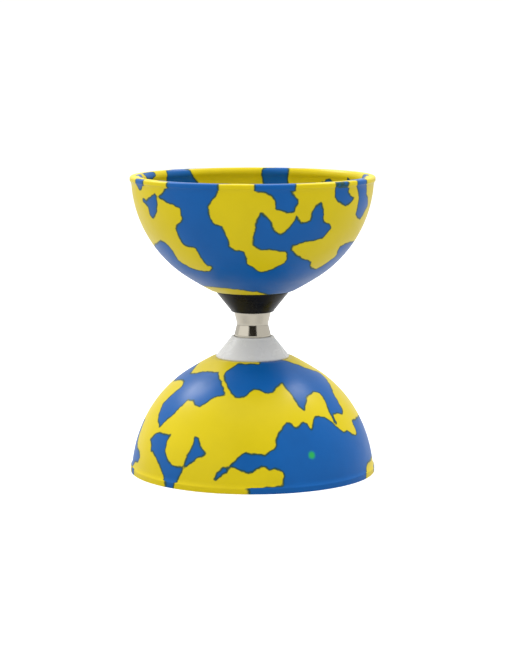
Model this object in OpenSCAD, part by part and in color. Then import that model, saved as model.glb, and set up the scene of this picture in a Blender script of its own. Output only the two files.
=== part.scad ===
// Diabolo with a one-way bearing axle.
// Two moulded rubber cups are clamped back to back on a threaded spindle.
// The string runs on a steel sleeve that turns on two ball bearings and a roller clutch.
// Millimetres. +Z is the spin axis, and z = 0 is the rim of the lower cup.

/* [Cups] */
// Outside radius of each cup, just inside its rim lip
cup_r = 60; // [58:0.5:62]
// Thickness of the rubber wall
cup_wall = 3.8; // [3:0.1:4.6]
// Thickness of the rubber pad between the hub and the clamp plate
pad_t = 4.5; // [4:0.1:5.2]
// How far the rim lip stands out past the wall
lip_out = 1.2; // [0.6:0.1:2]
// Height of the rim lip
lip_h = 2.6; // [2.4:0.1:4]

/* [Hubs] */
// Radius of each hub where it meets the cup
hub_r = 18.2; // [17.4:0.1:18.4]
// Radius of each hub's nose, beside the sleeve
nose_r = 11; // [10.8:0.1:12]
// Height of each hub from the cup to its nose
hub_h = 11; // [10.5:0.1:12]
// Depth of the pocket in the nose that takes the sleeve's end
pocket_depth = 7; // [6.5:0.1:7.5]

/* [Sleeve] */
// Visible length of the sleeve between the two noses
string_gap = 11.5; // [10.5:0.1:13]
// Radius at the sleeve's waist, where the string runs
waist_r = 7.7; // [7.5:0.1:8]
// Angle of the sleeve's flare on each side of the waist, in degrees
flare = 17; // [14:0.5:18]

/* [Fasteners] */
// Width across the flats of the lock nuts
nut_af = 10; // [9.5:0.5:11]
// Length of the stud that stands past each lock nut
stud_end = 4.5; // [3:0.5:7]

/* [Hidden] */
$fn = 96;
over = 1;

// Shape of the cup's side: an arc from the rim, then a cone that touches it and runs to the pole
arc_offset = 0.8;
arc_r = cup_r - arc_offset;
cone_start = 60;
cup_depth = 0.95 * cup_r;
spigot_r = 8;

// Heights in the lower half, counted up from the rim
pad_z = cup_depth - pad_t;
nose_z = cup_depth + hub_h;
mid_z = nose_z + string_gap / 2;
total_h = 2 * mid_z;
pocket_z = nose_z - pocket_depth;

// Spindle: an M6 stud. Engaged threads are split at their pitch radius.
spindle_r = 3;
thread_r = 2.7;
bore_r = spindle_r + 0.03;
seat_gap = 0.01;

// Clamp stack inside each cup
plate_r = 18.5;
plate_t = 2.2;
boss_r = 10.5;
boss_h = 4.2;
washer_r = 6;
washer_t = 1.6;
nut_h = 5;
collar_r = 4.4;
collar_h = 1.2;
insert_r = 3.8;
insert_h = 1;
plate_z = pad_z - boss_h;
washer_z = plate_z - washer_t;
nut_z = washer_z - nut_h;
collar_z = nut_z - collar_h;
stud_z = collar_z - stud_end;

// Ball bearings, 6 x 13 x 5
race_r = 6.5;
race_w = 5;
inner_race_r = 4.05;
outer_race_bore_r = 5.45;
ball_r = 1;
ball_pitch_r = 4.75;
ball_gap = 0.03;
ball_count = 8;
shield_t = 0.25;
shield_in = 0.15;

// Roller clutch, 8 x 12 x 12
clutch_r = 6;
clutch_len = 12;
journal_r = 4;
roller_r = 0.8;
roller_len = 8;
roller_count = 8;
roller_pitch_r = journal_r + roller_r + 0.02;
clutch_z = mid_z - clutch_len / 2;
bearing_z = clutch_z - race_w;
spacer_r = 4;

// Sleeve
waist_round = 4;
land_h = 0.6;
waist_edge_r = waist_r + waist_round * (1 - cos(flare));
waist_edge_h = waist_round * sin(flare);
sleeve_r = waist_edge_r + (string_gap / 2 - land_h - waist_edge_h) * tan(flare);
sleeve_z = pocket_z + 0.6;
pocket_r = sleeve_r + 0.5;

module in_upper_half() {
    translate([0, 0, total_h]) mirror([0, 0, 1]) children();
}

module ring(r_out, r_in, z, h) {
    translate([0, 0, z]) difference() {
        cylinder(r = r_out, h = h);
        translate([0, 0, -over]) cylinder(r = r_in, h = h + 2 * over);
    }
}

module around(count) {
    for (i = [0:count - 1]) rotate([0, 0, i * 360 / count]) children();
}

// Side of a cup, filled to the axis, for an arc of radius r and a flat pole at depth
module cup_side(r, depth) {
    touch = [arc_offset + r * cos(cone_start), r * sin(cone_start)];
    pole_r = touch[0] - (depth - touch[1]) * tan(cone_start);
    intersection() {
        translate([arc_offset, 0]) circle(r = r, $fn = 180);
        translate([0, -over]) square([arc_offset + r + over, touch[1] + over]);
    }
    polygon([[0, -over], [arc_offset, -over], touch, [pole_r, depth], [0, depth]]);
}

// Rim lip with its two outer corners rounded
module lip_profile() {
    corner = 1;
    lip_r = cup_r + lip_out;
    root_r = cup_r - cup_wall / 2;
    translate([root_r, 0]) square([lip_r - corner - root_r, lip_h]);
    translate([root_r, corner]) square([lip_r - root_r, lip_h - 2 * corner]);
    for (z = [corner, lip_h - corner]) translate([lip_r - corner, z]) circle(r = corner, $fn = 32);
}

// Bead that thickens the inside of the rim
module bead_profile() {
    bead_r = 3.5;
    bead_out = 1.1;
    inner_r = cup_r - cup_wall;
    intersection() {
        translate([inner_r - bead_out + bead_r, lip_h]) circle(r = bead_r);
        square([cup_r - cup_wall / 2, cup_r]);
    }
}

// Rubber cup: a thin bowl with a rim lip, an inner bead and a flat pad at the pole
module cup() {
    rotate_extrude($fn = 180) difference() {
        union() {
            difference() {
                cup_side(arc_r, cup_depth);
                cup_side(arc_r - cup_wall, pad_z);
                translate([0, -2 * over]) square([cup_r + over, 2 * over]);
            }
            lip_profile();
            bead_profile();
        }
        square([spigot_r + 0.1, cup_depth + over]);
    }
}

// Outline of a hub: a spigot through the cup, a cone and a pocket for the sleeve
module hub_profile() {
    land = 0.8;
    nose_edge = 0.9;
    polygon([
        [bore_r, pad_z], [spigot_r, pad_z], [spigot_r, cup_depth], [hub_r, cup_depth],
        [hub_r, cup_depth + land], [nose_r, nose_z - nose_edge], [nose_r - nose_edge / 3, nose_z - nose_edge / 3],
        [nose_r - nose_edge, nose_z], [pocket_r, nose_z], [pocket_r, pocket_z], [bore_r, pocket_z]
    ]);
}

// The hollow under a hub, which leaves six ribs
module hub_hollow() {
    hollow_in = pocket_r + 1.4;
    hollow_out = hub_r - 1.8;
    hollow_top = cup_depth + hub_h / 2;
    rib_t = 1.4;
    difference() {
        rotate_extrude() polygon([
            [hollow_in, cup_depth - over], [hollow_out, cup_depth - over], [hollow_out, cup_depth + land_h],
            [hollow_in + 0.6, hollow_top], [hollow_in, hollow_top]
        ]);
        around(6) translate([0, -rib_t / 2, pad_z]) cube([hub_r, rib_t, hub_h + pad_t]);
    }
}

module hub() {
    difference() {
        rotate_extrude() hub_profile();
        hub_hollow();
    }
}

// Clamp plate: a ribbed disc that presses the rubber pad against the hub
module clamp_plate() {
    edge = 0.8;
    rib_t = 1.5;
    rib_h = 1;
    rib_end = plate_r - 2.5;
    difference() {
        union() {
            rotate_extrude() polygon([
                [0, pad_z], [plate_r, pad_z], [plate_r, pad_z - plate_t + edge], [plate_r - edge, pad_z - plate_t],
                [boss_r, pad_z - plate_t], [boss_r, plate_z], [0, plate_z]
            ]);
            around(8) translate([0, -rib_t / 2, pad_z - plate_t - rib_h]) cube([rib_end, rib_t, plate_t]);
        }
        translate([0, 0, plate_z - over]) cylinder(r = bore_r, h = boss_h + 2 * over);
    }
}

module washer() {
    ring(washer_r, bore_r, washer_z, washer_t);
}

// Hexagon lock nut with chamfered corners and a collar for its nylon ring
module lock_nut() {
    corner_r = nut_af / 2 / cos(30);
    chamfer = 0.8;
    hole_r = thread_r + seat_gap;
    difference() {
        union() {
            intersection() {
                translate([0, 0, nut_z]) cylinder(r = corner_r, h = nut_h, $fn = 6);
                rotate_extrude() polygon([
                    [0, nut_z], [corner_r - chamfer, nut_z], [corner_r + over, nut_z + chamfer + over],
                    [corner_r + over, nut_z + nut_h], [0, nut_z + nut_h]
                ]);
            }
            translate([0, 0, collar_z]) cylinder(r = collar_r, h = collar_h + over);
        }
        translate([0, 0, collar_z - over]) cylinder(r = hole_r, h = nut_h + collar_h + 2 * over);
        translate([0, 0, collar_z - over]) cylinder(r = insert_r, h = insert_h + over);
    }
}

module nut_insert() {
    ring(insert_r - seat_gap, thread_r + seat_gap, collar_z, insert_h);
}

// Through stud, chamfered at both ends and necked to the pitch radius inside each nut
module spindle() {
    chamfer = 0.6;
    tip_r = spindle_r - chamfer;
    rotate_extrude() polygon([
        [0, stud_z], [tip_r, stud_z], [spindle_r, stud_z + chamfer],
        [spindle_r, collar_z], [thread_r, collar_z], [thread_r, washer_z], [spindle_r, washer_z],
        [spindle_r, total_h - washer_z], [thread_r, total_h - washer_z],
        [thread_r, total_h - collar_z], [spindle_r, total_h - collar_z],
        [spindle_r, total_h - stud_z - chamfer], [tip_r, total_h - stud_z], [0, total_h - stud_z]
    ]);
}

module clutch_journal() {
    ring(journal_r, bore_r, clutch_z, clutch_len);
}

module spacer() {
    ring(spacer_r, bore_r, pocket_z, bearing_z - pocket_z);
}

// The groove that the balls run in, cut from either race
module ball_track() {
    translate([0, 0, bearing_z + race_w / 2])
        rotate_extrude() translate([ball_pitch_r, 0]) circle(r = ball_r + ball_gap, $fn = 48);
}

module inner_race() {
    difference() {
        ring(inner_race_r, bore_r, bearing_z, race_w);
        ball_track();
    }
}

// A bearing's two shields, or the grooves they snap into when gap is above zero
module shield_pair(gap) {
    shield_r = outer_race_bore_r + 0.25;
    for (z = [bearing_z + shield_in, bearing_z + race_w - shield_in - shield_t])
        ring(shield_r + gap, inner_race_r + 0.25, z - gap, shield_t + 2 * gap);
}

module outer_race() {
    difference() {
        ring(race_r - seat_gap, outer_race_bore_r, bearing_z, race_w);
        ball_track();
        shield_pair(seat_gap);
    }
}

module balls(r) {
    translate([0, 0, bearing_z + race_w / 2])
        around(ball_count) translate([ball_pitch_r, 0, 0]) sphere(r = r, $fn = 48);
}

// Crown cage: a ring with a pocket round each ball
module ball_cage() {
    side_gap = 0.3;
    difference() {
        ring(outer_race_bore_r - side_gap, inner_race_r + side_gap, bearing_z + 0.9, 2.1);
        balls(ball_r + 0.06);
    }
}

module roller_slots(r, z, h) {
    translate([0, 0, z]) around(roller_count)
        translate([roller_pitch_r, 0, 0]) cylinder(r = r, h = h, $fn = 32);
}

// Drawn shell with a ramp beside each roller, so that it grips the journal one way only
module clutch_shell() {
    bore = roller_pitch_r + 0.45;
    lip_t = 0.6;
    ramp_turn = 1.5;
    ramp_gap = 0.2;
    difference() {
        ring(clutch_r - seat_gap, journal_r + 0.35, clutch_z + seat_gap, clutch_len - 2 * seat_gap);
        translate([0, 0, clutch_z + lip_t]) cylinder(r = bore, h = clutch_len - 2 * lip_t);
        rotate([0, 0, ramp_turn]) roller_slots(roller_r + ramp_gap, clutch_z + 2 * lip_t, clutch_len - 4 * lip_t);
    }
}

module clutch_rollers() {
    roller_slots(roller_r, mid_z - roller_len / 2, roller_len);
}

// Cage with a window for each roller
module clutch_cage() {
    cage_len = clutch_len - 1.6;
    end_gap = 0.1;
    difference() {
        ring(roller_pitch_r + 0.35, journal_r + 0.12, mid_z - cage_len / 2, cage_len);
        roller_slots(roller_r + 0.06, mid_z - roller_len / 2 - end_gap, roller_len + 2 * end_gap);
    }
}

// Hourglass sleeve: straight ends in the hubs, and flares that meet at a rounded waist
module axle_sleeve() {
    rotate_extrude() difference() {
        polygon([
            [race_r, sleeve_z], [sleeve_r, sleeve_z], [sleeve_r, nose_z + land_h],
            [waist_edge_r, mid_z - waist_edge_h], [waist_edge_r, mid_z + waist_edge_h],
            [sleeve_r, total_h - nose_z - land_h], [sleeve_r, total_h - sleeve_z],
            [race_r, total_h - sleeve_z], [race_r, total_h - clutch_z], [clutch_r, total_h - clutch_z],
            [clutch_r, clutch_z], [race_r, clutch_z]
        ]);
        translate([waist_r + waist_round, mid_z]) circle(r = waist_round);
    }
}

color("gold") cup();  // lower_cup
color("gold") in_upper_half() cup();  // upper_cup
color("gainsboro") hub();  // lower_hub
color([0.1, 0.09, 0.09]) in_upper_half() hub();  // upper_hub
color("gainsboro") clamp_plate();  // lower_clamp_plate
color([0.1, 0.09, 0.09]) in_upper_half() clamp_plate();  // upper_clamp_plate
color("silver") washer();  // lower_washer
color("silver") in_upper_half() washer();  // upper_washer
color("silver") lock_nut();  // lower_lock_nut
color("silver") in_upper_half() lock_nut();  // upper_lock_nut
color("royalblue") nut_insert();  // lower_nut_insert
color("royalblue") in_upper_half() nut_insert();  // upper_nut_insert
color("silver") spindle();
color("silver") clutch_journal();
color("silver") spacer();  // lower_spacer
color("silver") in_upper_half() spacer();  // upper_spacer
color("silver") inner_race();  // lower_bearing_inner_race
color("silver") in_upper_half() inner_race();  // upper_bearing_inner_race
color("silver") outer_race();  // lower_bearing_outer_race
color("silver") in_upper_half() outer_race();  // upper_bearing_outer_race
color("silver") balls(ball_r);  // lower_bearing_balls
color("silver") in_upper_half() balls(ball_r);  // upper_bearing_balls
color("goldenrod") ball_cage();  // lower_bearing_cage
color("goldenrod") in_upper_half() ball_cage();  // upper_bearing_cage
color("silver") shield_pair(0);  // lower_bearing_shields
color("silver") in_upper_half() shield_pair(0);  // upper_bearing_shields
color("silver") clutch_shell();
color([0.15, 0.15, 0.15]) clutch_cage();
color("silver") clutch_rollers();
color("silver") axle_sleeve();
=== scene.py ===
import math

import bpy
import numpy as np
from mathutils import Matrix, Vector
from mathutils.kdtree import KDTree


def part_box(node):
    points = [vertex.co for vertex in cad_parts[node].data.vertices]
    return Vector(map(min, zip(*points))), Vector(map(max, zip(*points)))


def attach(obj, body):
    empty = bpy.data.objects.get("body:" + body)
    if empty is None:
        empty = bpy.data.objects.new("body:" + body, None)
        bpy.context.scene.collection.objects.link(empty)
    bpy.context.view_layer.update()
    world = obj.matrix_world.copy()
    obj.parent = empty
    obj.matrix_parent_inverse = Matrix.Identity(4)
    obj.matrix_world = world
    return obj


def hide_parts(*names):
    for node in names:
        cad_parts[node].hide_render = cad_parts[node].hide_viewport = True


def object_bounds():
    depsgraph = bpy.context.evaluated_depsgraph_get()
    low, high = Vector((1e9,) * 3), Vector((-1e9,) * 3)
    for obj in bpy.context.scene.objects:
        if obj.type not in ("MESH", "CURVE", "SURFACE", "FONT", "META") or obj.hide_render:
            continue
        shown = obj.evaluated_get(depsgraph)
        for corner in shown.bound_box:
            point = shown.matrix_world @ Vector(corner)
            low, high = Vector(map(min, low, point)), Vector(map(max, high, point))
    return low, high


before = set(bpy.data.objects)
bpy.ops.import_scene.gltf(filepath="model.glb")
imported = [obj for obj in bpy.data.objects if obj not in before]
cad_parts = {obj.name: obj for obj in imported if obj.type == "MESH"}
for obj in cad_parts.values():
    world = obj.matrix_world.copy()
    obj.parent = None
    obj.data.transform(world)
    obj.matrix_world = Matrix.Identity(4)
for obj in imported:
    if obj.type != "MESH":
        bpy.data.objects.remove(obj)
cadLow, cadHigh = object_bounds()

mm = 0.001
weld = 0.002 * mm       # vertices closer together than this become one
sliver = 0.001 * mm     # faces thinner than this are dissolved after a cut
totalHeight = cadHigh.z
midHeight = totalHeight / 2
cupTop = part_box("lower_cup")[1].z / mm       # depth of a cup, in millimetres
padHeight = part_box("lower_clamp_plate")[1].z / mm
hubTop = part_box("lower_hub")[1].z / mm
print("frame loaded, total height", round(totalHeight / mm, 1), "mm")


def deselectAll():
    if bpy.context.mode != "OBJECT":
        bpy.ops.object.mode_set(mode="OBJECT")
    bpy.ops.object.select_all(action="DESELECT")


def pick(piece):
    deselectAll()
    piece.select_set(True)
    bpy.context.view_layer.objects.active = piece


def editAll(piece):
    pick(piece)
    bpy.ops.object.mode_set(mode="EDIT")
    bpy.ops.mesh.select_mode(type="VERT")
    bpy.ops.mesh.select_all(action="SELECT")


def objectMode():
    bpy.ops.object.mode_set(mode="OBJECT")


# One vertex at a point given in millimetres, left selected in edit mode
def startVertex(name, point):
    deselectAll()
    bpy.ops.mesh.primitive_plane_add(size=mm)
    piece = bpy.context.active_object
    piece.name = piece.data.name = name
    editAll(piece)
    bpy.ops.mesh.merge(type="CENTER")
    bpy.ops.transform.translate(value=[c * mm for c in point])
    return piece


# Extrudes the selected vertex from place to place; points are (radius, height)
def extrudeThrough(points):
    for here, there in zip(points, points[1:]):
        step = ((there[0] - here[0]) * mm, 0, (there[1] - here[1]) * mm)
        bpy.ops.mesh.extrude_region_move(TRANSFORM_OT_translate={"value": step})


def mergeDoubles():
    bpy.ops.mesh.select_all(action="SELECT")
    bpy.ops.mesh.remove_doubles(threshold=weld)
    bpy.ops.mesh.select_all(action="SELECT")


# A closed outline turned on the object's axis, as on a lathe, with its corners eased first
def turned(name, outline, steps=96, easing=0.0, angle=360):
    piece = startVertex(name, (outline[0][0], 0, outline[0][1]))
    extrudeThrough(outline + [outline[0]])
    mergeDoubles()
    if easing:
        bpy.ops.mesh.bevel(offset=easing * mm, segments=3, affect="VERTICES", clamp_overlap=True)
        bpy.ops.mesh.select_all(action="SELECT")
    if angle < 360:
        bpy.ops.mesh.edge_face_add()
    bpy.ops.mesh.spin(steps=steps, angle=math.radians(angle), center=(0, 0, 0), axis=(0, 0, 1))
    mergeDoubles()
    bpy.ops.mesh.normals_make_consistent(inside=False)
    objectMode()
    return piece


def smooth(piece, angle=35):
    pick(piece)
    bpy.ops.object.shade_smooth_by_angle(angle=math.radians(angle))


def combine(piece, other, operation):
    pick(piece)
    cut = piece.modifiers.new("combine", "BOOLEAN")
    cut.operation = operation
    cut.solver = "EXACT"
    cut.object = other
    bpy.ops.object.modifier_apply(modifier=cut.name)
    bpy.data.objects.remove(other)
    editAll(piece)
    bpy.ops.mesh.remove_doubles(threshold=weld)
    bpy.ops.mesh.dissolve_degenerate(threshold=sliver)
    objectMode()


# Copies of a piece turned round the object's axis and joined to it
def repeatAround(piece, count):
    copies = []
    for i in range(1, count):
        pick(piece)
        bpy.ops.object.duplicate()
        copy = bpy.context.active_object
        editAll(copy)
        bpy.ops.transform.rotate(value=2 * math.pi * i / count, orient_axis="Z", center_override=(0, 0, 0))
        objectMode()
        copies.append(copy)
    pick(piece)
    for copy in copies:
        copy.select_set(True)
    bpy.ops.object.join()


# The same piece in the upper half of the object, upside down
def upperCopy(piece, name):
    pick(piece)
    bpy.ops.object.duplicate()
    copy = bpy.context.active_object
    copy.name = copy.data.name = name
    editAll(copy)
    bpy.ops.transform.resize(value=(1, 1, -1), center_override=(0, 0, midHeight))
    bpy.ops.mesh.flip_normals()
    objectMode()
    return copy


def arc(centre, radius, fromAngle, toAngle, count):
    turns = [math.radians(fromAngle + (toAngle - fromAngle) * i / count) for i in range(count + 1)]
    return [(centre[0] + radius * math.cos(t), centre[1] + radius * math.sin(t)) for t in turns]


def straight(start, end, count):
    return [
        (start[0] + (end[0] - start[0]) * i / count, start[1] + (end[1] - start[1]) * i / count)
        for i in range(count + 1)
    ]


# A curve that leaves its start and reaches its end heading for the pull point
def softCurve(start, pull, end, count):
    points = []
    for i in range(count + 1):
        t = i / count
        points.append(tuple(
            (1 - t) ** 2 * a + 2 * t * (1 - t) * b + t ** 2 * c for a, b, c in zip(start, pull, end)))
    return points


def addNode(tree, kind, **values):
    node = tree.nodes.new(kind)
    for name, value in values.items():
        if hasattr(node, name):
            setattr(node, name, value)
        else:
            node.inputs[name.replace("_", " ")].default_value = value
    return node


def newGroup(name, inputs, outputs):
    group = bpy.data.node_groups.new(name, "ShaderNodeTree")
    for label, kind, value in inputs:
        socket = group.interface.new_socket(name=label, in_out="INPUT", socket_type=kind)
        socket.default_value = value
    for label, kind in outputs:
        group.interface.new_socket(name=label, in_out="OUTPUT", socket_type=kind)
    return group, group.nodes.new("NodeGroupInput"), group.nodes.new("NodeGroupOutput")


def useGroup(tree, group, **values):
    node = tree.nodes.new("ShaderNodeGroup")
    node.node_tree = group
    for name, value in values.items():
        node.inputs[name].default_value = value
    return node


def math2(tree, operation, a, b=None, clamp=False):
    node = tree.nodes.new("ShaderNodeMath")
    node.operation = operation
    node.use_clamp = clamp
    for socket, value in zip(node.inputs, (a, b)):
        if isinstance(value, bpy.types.NodeSocket):
            tree.links.new(value, socket)
        elif value is not None:
            socket.default_value = value
    return node.outputs[0]


def ramp(tree, value, low, high, toLow=0.0, toHigh=1.0):
    node = tree.nodes.new("ShaderNodeMapRange")
    node.interpolation_type = "SMOOTHSTEP"
    tree.links.new(value, node.inputs["Value"])
    for name, number in (("From Min", low), ("From Max", high), ("To Min", toLow), ("To Max", toHigh)):
        node.inputs[name].default_value = number
    return node.outputs["Result"]


def mixColour(tree, factor, first, second):
    node = tree.nodes.new("ShaderNodeMix")
    node.data_type = "RGBA"
    for index, value in ((0, factor), (6, first), (7, second)):
        if isinstance(value, bpy.types.NodeSocket):
            tree.links.new(value, node.inputs[index])
        else:
            node.inputs[index].default_value = value
    return node.outputs[2]


noiseMiddle = 0.5


# Colour that drifts a little lighter and darker, as a moulded or blended batch does
def buildColourDrift():
    group, given, out = newGroup(
        "colourDrift",
        [("Colour", "NodeSocketColor", (0.5, 0.5, 0.5, 1)), ("Amount", "NodeSocketFloat", 0.1),
         ("Scale", "NodeSocketFloat", 60.0)],
        [("Colour", "NodeSocketColor")],
    )
    place = addNode(group, "ShaderNodeTexCoord")
    noise = addNode(group, "ShaderNodeTexNoise", Detail=4.0, Roughness=0.6)
    group.links.new(place.outputs["Object"], noise.inputs["Vector"])
    group.links.new(given.outputs["Scale"], noise.inputs["Scale"])
    swing = math2(group, "SUBTRACT", noise.outputs["Fac"], noiseMiddle)
    swing = math2(group, "MULTIPLY", swing, given.outputs["Amount"])
    shade = addNode(group, "ShaderNodeHueSaturation")
    group.links.new(math2(group, "ADD", swing, 1.0), shade.inputs["Value"])
    group.links.new(given.outputs["Colour"], shade.inputs["Color"])
    group.links.new(shade.outputs["Color"], out.inputs["Colour"])
    return group


# Roughness with soft smudges from handling
def buildHandling():
    group, given, out = newGroup(
        "handling",
        [("Roughness", "NodeSocketFloat", 0.4), ("Spread", "NodeSocketFloat", 0.1),
         ("Scale", "NodeSocketFloat", 40.0)],
        [("Roughness", "NodeSocketFloat")],
    )
    place = addNode(group, "ShaderNodeTexCoord")
    noise = addNode(group, "ShaderNodeTexNoise", Detail=5.0, Roughness=0.65, Distortion=0.6)
    group.links.new(place.outputs["Object"], noise.inputs["Vector"])
    group.links.new(given.outputs["Scale"], noise.inputs["Scale"])
    smudge = ramp(group, noise.outputs["Fac"], 0.35, 0.7, toLow=-1.0, toHigh=1.0)
    spread = math2(group, "MULTIPLY", smudge, given.outputs["Spread"])
    roughness = math2(group, "ADD", spread, given.outputs["Roughness"], clamp=True)
    group.links.new(roughness, out.inputs["Roughness"])
    return group


# Fine pebbled skin left by the mould
def buildMouldSkin():
    group, given, out = newGroup(
        "mouldSkin",
        [("Fine", "NodeSocketFloat", 2500.0), ("Broad", "NodeSocketFloat", 250.0)],
        [("Height", "NodeSocketFloat")],
    )
    place = addNode(group, "ShaderNodeTexCoord")
    heights = []
    for label in ("Fine", "Broad"):
        noise = addNode(group, "ShaderNodeTexNoise", Detail=3.0, Roughness=0.55)
        group.links.new(place.outputs["Object"], noise.inputs["Vector"])
        group.links.new(given.outputs[label], noise.inputs["Scale"])
        heights.append(noise.outputs["Fac"])
    group.links.new(math2(group, "ADD", heights[0], heights[1]), out.inputs["Height"])
    return group


# Fine rings left by a lathe tool, with the odd deeper one
def buildTurnedRings():
    group, given, out = newGroup(
        "turnedRings",
        [("Pitch", "NodeSocketFloat", 5000.0)],
        [("Height", "NodeSocketFloat")],
    )
    place = addNode(group, "ShaderNodeTexCoord")
    split = addNode(group, "ShaderNodeSeparateXYZ")
    group.links.new(place.outputs["Object"], split.inputs[0])
    squares = [math2(group, "POWER", split.outputs[axis], 2.0) for axis in ("X", "Y")]
    across = math2(group, "SQRT", math2(group, "ADD", *squares))
    join = addNode(group, "ShaderNodeCombineXYZ")
    group.links.new(math2(group, "MULTIPLY", across, given.outputs["Pitch"]), join.inputs["X"])
    group.links.new(math2(group, "MULTIPLY", split.outputs["Z"], given.outputs["Pitch"]), join.inputs["Z"])
    noise = addNode(group, "ShaderNodeTexNoise", Scale=1.0, Detail=2.0)
    group.links.new(join.outputs[0], noise.inputs["Vector"])
    group.links.new(noise.outputs["Fac"], out.inputs["Height"])
    return group


colourDrift = buildColourDrift()
handling = buildHandling()
mouldSkin = buildMouldSkin()
turnedRings = buildTurnedRings()


def newMaterial(name, **values):
    material = bpy.data.materials.new(name)
    material.use_nodes = True
    tree = material.node_tree
    shader = tree.nodes["Principled BSDF"]
    for label, value in values.items():
        shader.inputs[label.replace("_", " ")].default_value = value
    return material, tree, shader


def addBump(tree, shader, height, strength, distance):
    bump = addNode(tree, "ShaderNodeBump", Strength=strength, Distance=distance)
    tree.links.new(height, bump.inputs["Height"])
    tree.links.new(bump.outputs["Normal"], shader.inputs["Normal"])


def addHandling(tree, shader, roughness, spread, scale):
    node = useGroup(tree, handling, Roughness=roughness, Spread=spread, Scale=scale)
    tree.links.new(node.outputs["Roughness"], shader.inputs["Roughness"])


# Moulded plastic, in any colour
def plastic(name, colour, drift, roughness, spread, bump, gloss=0.4):
    material, tree, shader = newMaterial(name, Specular_IOR_Level=gloss)
    tint = useGroup(tree, colourDrift, Colour=colour, Amount=drift, Scale=90.0)
    tree.links.new(tint.outputs["Colour"], shader.inputs["Base Color"])
    addHandling(tree, shader, roughness, spread, 110.0)
    skin = useGroup(tree, mouldSkin, Fine=2600.0, Broad=420.0)
    addBump(tree, shader, skin.outputs["Height"], bump, 0.02 * mm)
    return material


# Turned or rolled metal, in any colour
def metal(name, colour, drift, roughness, spread, pitch, bump):
    material, tree, shader = newMaterial(name, Metallic=1.0)
    tint = useGroup(tree, colourDrift, Colour=colour, Amount=drift, Scale=140.0)
    tree.links.new(tint.outputs["Colour"], shader.inputs["Base Color"])
    addHandling(tree, shader, roughness, spread, 160.0)
    rings = useGroup(tree, turnedRings, Pitch=pitch)
    addBump(tree, shader, rings.outputs["Height"], bump, 0.01 * mm)
    return material


# Marbled rubber: blue where patchEdge is above zero, yellow below it
def marbledRubber():
    look = {
        "yellow": (0.60, 0.475, 0.002, 1),
        "blue": (0.002, 0.090, 0.325, 1),
        "seam": (0.008, 0.055, 0.034, 1),    # the thin line where the two colours smear
        "spot": (0.022, 0.40, 0.05, 1),
        "spotPlace": (0.0286, -0.0505, 0.017),
        "spotSize": 2.4 * mm,
        "spotFade": (0.35, 1.1),             # shares of its size where the spot starts to fade and ends
        "spotUneven": 0.8 * mm,
        "ragged": 0.36,                      # how far the edge wanders, in millimetres
        "raggedScale": 900.0,
        "kinks": 0.45,                       # and how far its broader kinks reach
        "kinksScale": 300.0,
        "bleed": 0.12,                       # how far from the edge one colour has turned into the other
        "seamWidth": 0.50,
        "seamFade": (0.3, 1.5),              # shares of its width where the seam starts to fade and ends
        "stain": 0.9,                        # how strongly the seam and the spot cover what is below
        "roughness": 0.36,
        "bump": 0.22,
    }
    material, tree, shader = newMaterial("marbledRubber", Specular_IOR_Level=0.16)
    edge = addNode(tree, "ShaderNodeAttribute", attribute_name="patchEdge")
    place = addNode(tree, "ShaderNodeTexCoord")
    fray = addNode(tree, "ShaderNodeTexNoise", Scale=look["raggedScale"], Detail=3.0, Roughness=0.6)
    tree.links.new(place.outputs["Object"], fray.inputs["Vector"])
    wander = math2(tree, "SUBTRACT", fray.outputs["Fac"], noiseMiddle)
    wander = math2(tree, "MULTIPLY", wander, 2 * look["ragged"])
    kink = addNode(tree, "ShaderNodeTexVoronoi", Scale=look["kinksScale"], Randomness=1.0)
    tree.links.new(place.outputs["Object"], kink.inputs["Vector"])
    kinks = math2(tree, "SUBTRACT", kink.outputs["Distance"], noiseMiddle)
    kinks = math2(tree, "MULTIPLY", kinks, 2 * look["kinks"])
    side = math2(tree, "ADD", edge.outputs["Fac"], math2(tree, "ADD", wander, kinks))
    isBlue = ramp(tree, side, -look["bleed"], look["bleed"])
    seamStart, seamEnd = (look["seamWidth"] * share for share in look["seamFade"])
    onSeam = ramp(tree, math2(tree, "ABSOLUTE", side), seamStart, seamEnd, look["stain"], 0.0)
    yellow = useGroup(tree, colourDrift, Colour=look["yellow"], Amount=0.16, Scale=55.0)
    blue = useGroup(tree, colourDrift, Colour=look["blue"], Amount=0.32, Scale=48.0)
    colour = mixColour(tree, isBlue, yellow.outputs["Colour"], blue.outputs["Colour"])
    colour = mixColour(tree, onSeam, colour, look["seam"])
    reach = addNode(tree, "ShaderNodeVectorMath", operation="DISTANCE")
    tree.links.new(place.outputs["Object"], reach.inputs[0])
    reach.inputs[1].default_value = look["spotPlace"]
    uneven = math2(tree, "MULTIPLY", wander, look["spotUneven"])
    spotStart, spotEnd = (look["spotSize"] * share for share in look["spotFade"])
    fromSpot = math2(tree, "ADD", reach.outputs["Value"], uneven)
    spot = ramp(tree, fromSpot, spotStart, spotEnd, look["stain"], 0.0)
    colour = mixColour(tree, spot, colour, look["spot"])
    tree.links.new(colour, shader.inputs["Base Color"])
    addHandling(tree, shader, look["roughness"], 0.05, 38.0)
    skin = useGroup(tree, mouldSkin, Fine=1500.0, Broad=170.0)
    addBump(tree, shader, skin.outputs["Height"], look["bump"], 0.05 * mm)
    return material


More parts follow.
